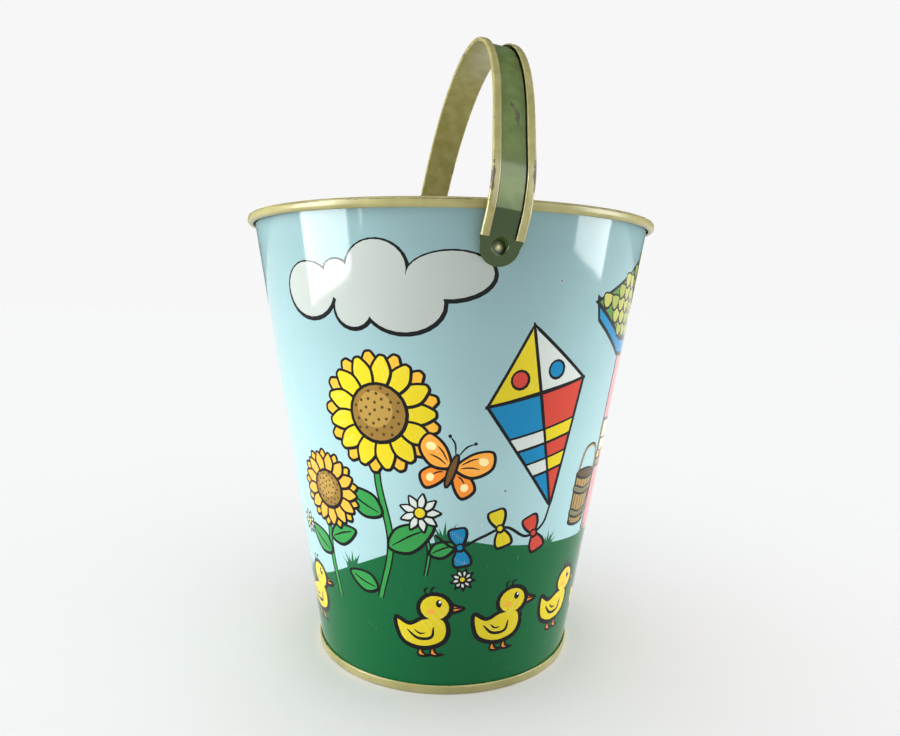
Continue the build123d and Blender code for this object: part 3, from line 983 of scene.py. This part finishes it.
# %% The ink of each triangle
def covered(outline, where):
    """True where the winding number is positive: edges that rise past a point on its right, less those that
    fall."""
    a, b = outline, np.roll(outline, -1, 0)
    x, y = where[:, :1], where[:, 1:]
    turn = (b[:, 0] - a[:, 0]) * (y - a[:, 1]) - (x - a[:, 0]) * (b[:, 1] - a[:, 1])
    rising = (a[:, 1] <= y) & (b[:, 1] > y) & (turn > 0)
    falling = (a[:, 1] > y) & (b[:, 1] <= y) & (turn < 0)
    return rising.sum(1) > falling.sum(1)


# The sky ink is darker towards the rim, as painted shade, and lighter towards the ground, as painted light:
# deepest at 190 mm and palest 90 mm below.
sky_painted_lit_low, sky_painted_shade_high = (np.array([*linear(code)[:3], 0.0]) for code in ("#9BBDC0", "#7E9C9F"))
paler = np.clip((190 - centres[:, 1]) / 90, 0, 1)[:, None]
ink_of = paler * sky_painted_lit_low + (1 - paler) * sky_painted_shade_high
for outline, ink in inks:
    near = np.flatnonzero(((centres >= outline.min(0)) & (centres <= outline.max(0))).all(1))
    if len(near):
        ink_of[near[covered(outline, centres[near])]] = ink

# %% Four printed panels, rolled up
for k in range(panels):
    edge_a, edge_b = (first + (last - first) * (k + step) / panels for step in (0, 1))
    mine = (centres[:, 0] > edge_a) & (centres[:, 0] < edge_b)
    used, faces = np.unique(triangles[mine], return_inverse=True)
    faces = faces.reshape(-1, 3)
    round_it = spots[used, 0] / middle_radius
    mesh = bpy.data.meshes.new(f"wall_print_{k + 1}")
    mesh.from_pydata((rolled_up(spots[used]) * MM).tolist(), [], faces.tolist())
    mesh.shade_smooth()
    layer = mesh.color_attributes.new("ink", "FLOAT_COLOR", "CORNER")
    layer.data.foreach_set("color", np.repeat(ink_of[mine], 3, axis=0).astype(np.float32).ravel())
    fan = (round_it - (edge_a + edge_b) / 2 / middle_radius) * sine
    far = spots[used, 1] + floor_radius / sine
    flat = np.stack([far * np.sin(fan), far * np.cos(fan)], -1)
    flat = 0.01 + 0.98 * (flat - flat.min(0)) / (flat.max(0) - flat.min(0)).max()
    mesh.uv_layers.new(name="OFBake").data.foreach_set("uv", flat[faces.ravel()].astype(np.float32).ravel())
    outward = np.stack([np.sin(round_it) * cosine, -np.cos(round_it) * cosine, np.full(len(used), -sine)], -1)
    mesh.normals_split_custom_set_from_vertices(outward.tolist())
    panel = bpy.data.objects.new(mesh.name, mesh)
    bpy.context.scene.collection.objects.link(panel)
    place(panel, "pail", "wall", printed_tin)

# %% [markdown]
# ## The rest of the wall
#
# The same sheet goes on past the picture: over the rim in an open curl, down the cream inside, and under into
# the seam with the base. One profile covers it, from the picture's upper edge all the way round to its lower
# edge. The side seam stands as a low fold inside, so the grid has extra columns there and steps inwards.

# %% Rim curl, inside and side seam
curl_low = curl_centre - [0, 0.6]
curl_in, curl_out = curl_radius - sheet / 2, curl_radius + sheet / 2
start_angle = 180 - math.degrees(wall_angle)
curl_end = -118.0
inner_heights = np.array([198.5, 196.5, 196.1, 150, 104, 56, 8.2, 7.8, 4.0, 1.0])
inner = np.stack([wall_radius(inner_heights) - sheet / cosine, inner_heights], -1)
parts = [
    arc(curl_centre, curl_in, start_angle, 0, 12),
    arc(curl_low, curl_in, 0, curl_end, 10),
    arc(curl_low, curl_out, curl_end, 0, 14),
    arc(curl_centre, curl_out, 0, start_angle, 22),
    inner,
    np.array([(wall_radius(1.0), 1.0), (wall_radius(print_low), print_low)]),
]
profile = np.concatenate(parts)
fold_half, fold_depth = math.radians(2.3 / 75 * 180 / math.pi), 0.6
around = np.radians(side_seam) + np.linspace(0, 2 * math.pi, 240, endpoint=False)
near_fold = math.radians(side_seam) + fold_half * np.array([-1.15, -1.0, -0.5, 0.5, 1.0, 1.15])
around = np.unique(np.concatenate([around, near_fold + 2 * math.pi * (near_fold < math.radians(side_seam))]))
shape = revolved(profile, around)
off_seam = np.abs((around - math.radians(side_seam) + math.pi) % (2 * math.pi) - math.pi)
fold = np.clip((1.15 * fold_half - off_seam) / (0.15 * fold_half), 0, 1)
on_inner = (profile[:, 1] < 196.3) & (profile[:, 1] > 8.0) & (
    profile[:, 0] < wall_radius(profile[:, 1]) - sheet / 2
)
push = on_inner[:, None] * fold * fold_depth
shape[..., 0] -= push * np.sin(around)
shape[..., 1] += push * np.cos(around)
wall_sheet = surface("wall_sheet", shape, close_columns=True)
angle = np.degrees(np.arctan2(profile[:, 1] - curl_centre[1], profile[:, 0] - curl_centre[0]))
on_curl = np.hypot(*(profile - curl_centre).T) > curl_radius
on_curl &= profile[:, 1] > 198
crest = 1.10 * np.exp(-(((angle - 24) / 9) ** 2)) + 0.4 * np.exp(-(((angle - 50) / 45) ** 2))
crest += 0.7 * np.exp(-(((angle + 75) / 25) ** 2))
edge = np.where(on_curl, crest, 0.10)
attribute(wall_sheet, "edge", np.repeat(edge[:, None], len(around), 1))
wall_sheet.data.set_sharp_from_angle(angle=crisp_fold)
place(wall_sheet, "pail", "wall", cream_tin)

# %% [markdown]
# ## The base
#
# The base is one pressed disc. Its middle is stepped up to stiffen it, its skirt runs down inside the wall,
# turns flat to make the foot, and comes up outside over the wall's hem, where it is folded under. The line
# below is the middle of the sheet, with an arc in each corner, and both faces are that line moved half a
# sheet each way.

# %% Base, revolved from one folded line
def beside_wall(height, out):
    """Point at a height, and a distance out from the wall's outer face, square to it."""
    return (wall_radius(height) + out / cosine, height)


gap = 0.05
chuck, hook, cover = -1.5 * sheet, 0.5 * sheet + gap, 2.5 * sheet + 3 * gap
panel_level, foot_level, cover_top = panel_height - sheet / 2, sheet / 2, seam_height - sheet / 2
corners = [
    (0, panel_level + 1),
    (44, panel_level + 1),
    (45, panel_level),
    beside_wall(panel_level, chuck),
    beside_wall(foot_level, chuck),
    beside_wall(foot_level, cover),
    beside_wall(cover_top, cover),
    beside_wall(cover_top, hook),
    beside_wall(0.9, hook),
]
middle = rounded(corners, [0.7, 0.7, 1.0, 0.42, 0.42, 0.343, 0.343])
around = np.linspace(0, 2 * math.pi, 240, endpoint=False)
outline = both_faces(middle, sheet)
base = surface("base_pressing", revolved(outline, around), close_rows=True, close_columns=True)
foot_edge = 1.3 * np.exp(-((outline[:, 1] / 0.5) ** 2)) + 0.9 * np.exp(
    -(((outline[:, 1] - seam_height) / 0.45) ** 2)
)
edge = np.where(outline[:, 0] > 55, foot_edge, 0.15 + 0.5 * np.exp(-(((outline[:, 0] - 44.5) / 1.2) ** 2)))
attribute(base, "edge", np.repeat(edge[:, None], len(around), 1))
clean(base, weld=True)
place(base, "pail", "base", cream_tin)

# %% [markdown]
# ## The bail
#
# A tinsmith makes the bail from one long strip: both edges are rolled over to stiffen it, the strip is bent
# into an arch, and the ends are left flat as round ears. So the strap is a section carried along the bail's
# line. The section is itself a folded line with two faces, and the face a point belongs to says whether it
# shows green or cream, because the strip is lacquered cream on one side and green on the other.

# %% The bail's line and its section
leg_reach = rim_reach + 3.0 + sheet / 2
ear_reach, crease_rise, hip_rise = 93.58, 12.4, 17.0
leg_turn = 30.0
crown_rise = rim_reach + 2.8 + sheet / 2
swing_reach = math.hypot(rim_reach + 0.4 + sheet / 2, hip_rise)
turn_cos, turn_sin = math.cos(math.radians(leg_turn)), math.sin(math.radians(leg_turn))
hip_radius = (swing_reach - leg_reach * turn_cos - hip_rise * turn_sin) / (1 - turn_cos)
hip_end = (leg_reach - hip_radius * (1 - turn_cos), hip_rise + hip_radius * turn_sin)
crown_radius = (hip_end[0] * turn_cos - (crown_rise - hip_end[1]) * turn_sin) / (1 - turn_sin)
ear_tilt = math.atan2(leg_reach - ear_reach, crease_rise)
ear_up = np.array([math.sin(ear_tilt), math.cos(ear_tilt)])
strap_foot = np.array([ear_reach, 0]) + ear_up * 3.4
half_line = np.concatenate(
    [
        rounded([strap_foot, (leg_reach, crease_rise), (leg_reach, hip_rise)], [4.0]),
        arc((leg_reach - hip_radius, hip_rise), hip_radius, 0, leg_turn, 18)[1:],
        arc((0, crown_rise - crown_radius), crown_radius, leg_turn, 90, 28),
    ]
)
bail_line = np.concatenate([half_line, (half_line * [-1, 1])[-2::-1]])

hem = np.concatenate([arc((7.15, 0.8), 0.8, -90, 90, 12), arc((5.55, 1.1), 0.5, 90, 180, 6)])
half_web = np.array([0.8, 1.6, 2.4, 3.2, 4.0, 4.35, 4.6, 5.0, 5.7, 6.4])
web = np.stack([np.concatenate([-half_web[::-1], [0], half_web]), np.zeros(21)], -1)
section_middle = np.concatenate([(hem * [-1, 1])[::-1], web, hem])
section = both_faces(section_middle, sheet)
print(f"bail line of {len(bail_line)} points, section of {len(section)}")


def in_bail(across, reach, rise):
    """Point of the bail in the bucket's frame: the bail's plane stands on the pivots and leans forward at
    rest."""
    x = across * math.cos(lean) + rise * math.sin(lean)
    z = pivot_height - across * math.sin(lean) + rise * math.cos(lean)
    return np.stack([x, reach * np.ones_like(x), z], -1)


# %% Strap
outward = -left_of(bail_line)
reach = bail_line[:, :1] + outward[:, :1] * section[:, 1]
rise = bail_line[:, 1:] + outward[:, 1:] * section[:, 1]
strap_grid = in_bail(section[:, 0] * np.ones_like(rise), reach, rise)
strap = surface("bail_strap", strap_grid, close_columns=True)
layers = len(section_middle)
side = np.repeat([1.0, 0.0], layers)
attribute(strap, "side", np.tile(side, (len(bail_line), 1)))
along_line = np.concatenate([[0], np.cumsum(np.linalg.norm(np.diff(bail_line, axis=0), axis=1))])
from_front = along_line[-1] - along_line
from_end = np.minimum(from_front, along_line)[:, None]
hem_edge = 0.75 * np.exp(-(((np.abs(section[:, 0]) - 7.6) / 1.2) ** 2)) + 0.15
hem_edge = hem_edge * (1 + 0.45 * np.exp(-(((from_end - 24) / 14) ** 2)))
crease = 0.6 * np.exp(-(((from_end - 10) / 0.8) ** 2)) * np.exp(-((section[:, 0] / 3) ** 2))
# A dark line where the web meets each hem is a painted shadow.
under_hem = np.clip(
    (np.abs(section[:, 0]) - 4.35) / 0.25, 0, 1
) * (np.abs(section[:, 1]) < 0.2) * (side > 0.5)
attribute(strap, "painted_hem_shadow", np.tile(under_hem, (len(bail_line), 1)))
# Below the crease the strap turns a darker green: painted shade.
attribute(strap, "painted_ear_shade", np.clip((10.6 - from_end) / 0.8, 0, 1) * np.ones(len(section)))
rust_patch = 52  # along the strap from its front end
down, across = (from_front - rust_patch)[:, None], section[None, :, 0]
slanted = across - 0.8 + 0.55 * down
patch = 2.0 * np.exp(-((down / 6.0) ** 2)) * np.exp(-((slanted / 1.4) ** 2))
attribute(strap, "edge", hem_edge + crease + patch * (side > 0.5))


# %% Ears: a round plate with a dished seat for the rivet
def ear(name, way):
    """Polar grid: flat seat, flaring cone, then a tilted plate out to its outline; both faces joined at the
    edges."""
    seat_radius, flare, hole = 2.35, 0.234, 0.85
    seat_level = wall_radius(pivot_height + seat_radius) + 0.3 + sheet / 2
    corner = [(7.4, 0), (8.2, 2.6), (7.15, 3.4), (-7.15, 3.4), (-8.2, 2.6), (-7.4, 0)]
    top_side = straight(corner, 0.9)
    rim = np.concatenate([top_side[: len(top_side) * 5 // 6], arc((0, 0), 7.4, 180, 360, 40)[:-1]])
    rim = rim[np.argsort(np.arctan2(rim[:, 1], rim[:, 0]))]
    turn = np.arctan2(rim[:, 1] * math.cos(ear_tilt), rim[:, 0])
    tilt = math.tan(ear_tilt) * np.sin(turn)
    depth = (ear_reach - seat_level + seat_radius * tilt) / (1 - flare * tilt)
    rows = []
    for radius, share in (
        (hole, 0), (1.5, 0), (2.1, 0.0), (2.3, 0.02), (None, 0.12), (None, 0.4), (None, 0.7), (None, 0.94)
    ):
        down = share * depth
        far = seat_radius + flare * down if radius is None else radius * np.ones_like(turn)
        rows.append(in_bail(far * np.cos(turn), seat_level + down, far * np.sin(turn)))
    mouth = seat_radius + flare * depth
    mouth = np.stack([mouth * np.cos(turn), mouth * np.sin(turn) / math.cos(ear_tilt)], -1)
    for share in (0.06, 0.14, 0.3, 0.6, 0.9, 1.0):
        p = mouth + (rim - mouth) * share
        rows.append(in_bail(p[:, 0], ear_reach + p[:, 1] * math.sin(ear_tilt), p[:, 1] * math.cos(ear_tilt)))
    grid = np.stack(rows)
    wide = np.concatenate([grid[:, -1:], grid, grid[:, :1]], 1)
    normal = np.cross(np.gradient(grid, axis=0), (wide[:, 2:] - wide[:, :-2]) / 2)
    normal *= (
        np.sign(normal[..., 1:2]) + (normal[..., 1:2] == 0)
    ) / np.linalg.norm(normal, axis=-1)[..., None]
    both = np.concatenate([grid + normal * sheet / 2, (grid - normal * sheet / 2)[::-1]])
    both[..., 1] *= way
    piece = surface(name, both, close_rows=True, close_columns=True)
    count = len(rows)
    side = np.repeat([1.0, 0.0], count)[:, None] * np.ones(len(turn))
    worn = np.concatenate([np.full(8, 0.3), np.linspace(0.25, 0.8, count - 8)])
    low_worn = np.where(np.sin(turn) < -0.3, 0.2, 0.0)
    attribute(piece, "side", side)
    # The whole ear takes the darker green: painted shade.
    attribute(piece, "painted_ear_shade", np.ones_like(side))
    attribute(piece, "edge", np.concatenate([worn, worn[::-1]])[:, None] + low_worn)
    return piece


ears = [ear("ear_front", -1), ear("ear_back", 1)]
for piece in [strap, *ears]:
    clean(piece, outwards=True)
    place(piece, "bail", "handle", green_tin)

# %% Rivets: the exact turned solids stay, with the plating
for name in ("rivet_front", "rivet_back"):
    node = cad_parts[name]
    for slot_of in node.material_slots:
        slot_of.material = rivet_metal
    if not node.material_slots:
        node.data.materials.append(rivet_metal)
    print(name, len(node.data.polygons), "faces")

# %% [markdown]
# ## Floor, light and camera
#
# The floor is plain and pale, and the room beyond it is as pale, so no horizon shows. Glossy tin is lit by
# what it mirrors, so each softbox does one job. Some are only mirrored: a tall window and its narrow bar on
# the left, a strip on the right and a card in front. The others only light the matt ink, so its brightness is
# set apart from the shape of the highlights. Light linking keeps the softboxes off the floor, which has a
# very soft sun of its own and stays as even as the room beyond. A second soft sun fills from overhead.

# %% Floor
width = np.linspace(-9000, 9000, 13)
floor = surface("floor", np.stack([*np.meshgrid(width, width, indexing="ij"), np.zeros((13, 13))], -1))
paper = bpy.data.materials.new("floor_paper")
paper.use_nodes = True
shader = paper.node_tree.nodes["Principled BSDF"]
shader.inputs["Base Color"].default_value = (0.9, 0.9, 0.9, 1.0)
shader.inputs["Roughness"].default_value = 0.9
shader.inputs["Specular IOR Level"].default_value = 0.1
floor.data.materials.append(paper)

# %% World: dim for what lights the tin, pale for what the camera sees past the floor
view_from = math.radians(-10.8)
world = bpy.data.worlds.new("soft_room")
bpy.context.scene.world = world
world.use_nodes = True
tree = world.node_tree
tree.nodes.clear()
room = add(tree, "Background", {"Color": (0.92, 0.97, 1.0, 1.0), "Strength": 0.13})
beyond = add(tree, "Background", {"Color": (0.93, 0.93, 0.93, 1.0), "Strength": 1.0})
seen = add(tree, "LightPath").outputs["Is Camera Ray"]
sky = add(tree, "MixShader", {0: seen, 1: room.outputs[0], 2: beyond.outputs[0]})
add(tree, "OutputWorld", {"Surface": sky.outputs[0]})


unlit = bpy.data.collections.new("unlit_by_softboxes")
unlit.objects.link(floor)
unlit.collection_objects[0].light_linking.link_state = "EXCLUDE"


def softbox(name, azimuth, distance, low, high, width, radiance, mirrored):
    """Area light facing the bucket, at an azimuth from the view and between two heights; mirrored or matt
    light."""
    size = high - low
    lamp = bpy.data.lights.new(name, "AREA")
    lamp.shape = "RECTANGLE"
    lamp.size, lamp.size_y = width, size
    lamp.energy = radiance * math.pi * width * size
    thing = bpy.data.objects.new(name, lamp)
    bpy.context.scene.collection.objects.link(thing)
    turn = math.radians(azimuth) + view_from
    place_at = Vector((distance * math.sin(turn), -distance * math.cos(turn), (low + high) / 2))
    facing = Vector((-math.sin(turn), math.cos(turn), 0)).to_track_quat("-Z", "Y")
    thing.matrix_world = Matrix.Translation(place_at) @ facing.to_matrix().to_4x4()
    thing.light_linking.receiver_collection = unlit
    thing.visible_diffuse = not mirrored
    thing.visible_glossy = mirrored
    print(f"{name}: {lamp.energy:.1f} W")


def sunlight(name, energy, spread):
    """Sun spread over an angle in degrees, so that its shadows are soft."""
    lamp = bpy.data.lights.new(name, "SUN")
    lamp.energy, lamp.angle = energy, math.radians(spread)
    thing = bpy.data.objects.new(name, lamp)
    bpy.context.scene.collection.objects.link(thing)
    return thing


for settings in (
    ("window_left", -70.5, 0.81, 0.008, 1.10, 0.45, 17.0, True),
    ("window_bar", -47.0, 0.81, 0.07, 1.10, 0.020, 12.0, True),
    ("left_fill", -74.0, 0.80, 0.05, 1.10, 0.50, 10.5, False),
    ("strip_right", 81.5, 0.80, 0.07, 0.95, 0.35, 12.0, True),
    ("right_fill", 98.0, 0.80, 0.05, 0.95, 0.40, 11.0, False),
    ("card_front", 36.0, 0.90, 0.25, 1.75, 0.55, 4.2, True),
):
    softbox(*settings)
overhead = sunlight("overhead", 0.5, 75)
overhead.rotation_euler = Vector((0.15, 0.15, -1.0)).to_track_quat("-Z", "Y").to_euler()

# %% The floor's own light, and a low fill from the front that gives no reflection
only_floor = bpy.data.collections.new("lit_by_floor_light")
only_floor.objects.link(floor)
sunlight("floor_light", 2.4, 170).light_linking.receiver_collection = only_floor
softbox("low_fill", 22.0, 0.42, 0.01, 0.09, 0.50, 4.5, False)

# %% Camera
distance, eye_height = 0.3384, 0.1659
pitch, yaw, roll = -0.0951, 0.0029, 0.0209
forward = Vector((math.sin(yaw) * math.cos(pitch), math.cos(yaw) * math.cos(pitch), math.sin(pitch)))
level = Vector((math.cos(yaw), -math.sin(yaw), 0))
upright = level.cross(forward)
across = math.cos(roll) * level + math.sin(roll) * upright
upright = math.cos(roll) * upright - math.sin(roll) * level
aim = Matrix((across, upright, -forward)).transposed().to_4x4()
lens = bpy.data.cameras.new("camera")
lens.sensor_width, lens.lens = 36.0, 27.45
lens.clip_start = 0.02
camera = bpy.data.objects.new("camera", lens)
bpy.context.scene.collection.objects.link(camera)
camera.matrix_world = Matrix.Rotation(view_from, 4, "Z") @ Matrix.Translation(
    (0, -distance, eye_height)
) @ aim
bpy.context.scene.camera = camera
bpy.context.scene.view_settings.view_transform = "Standard"
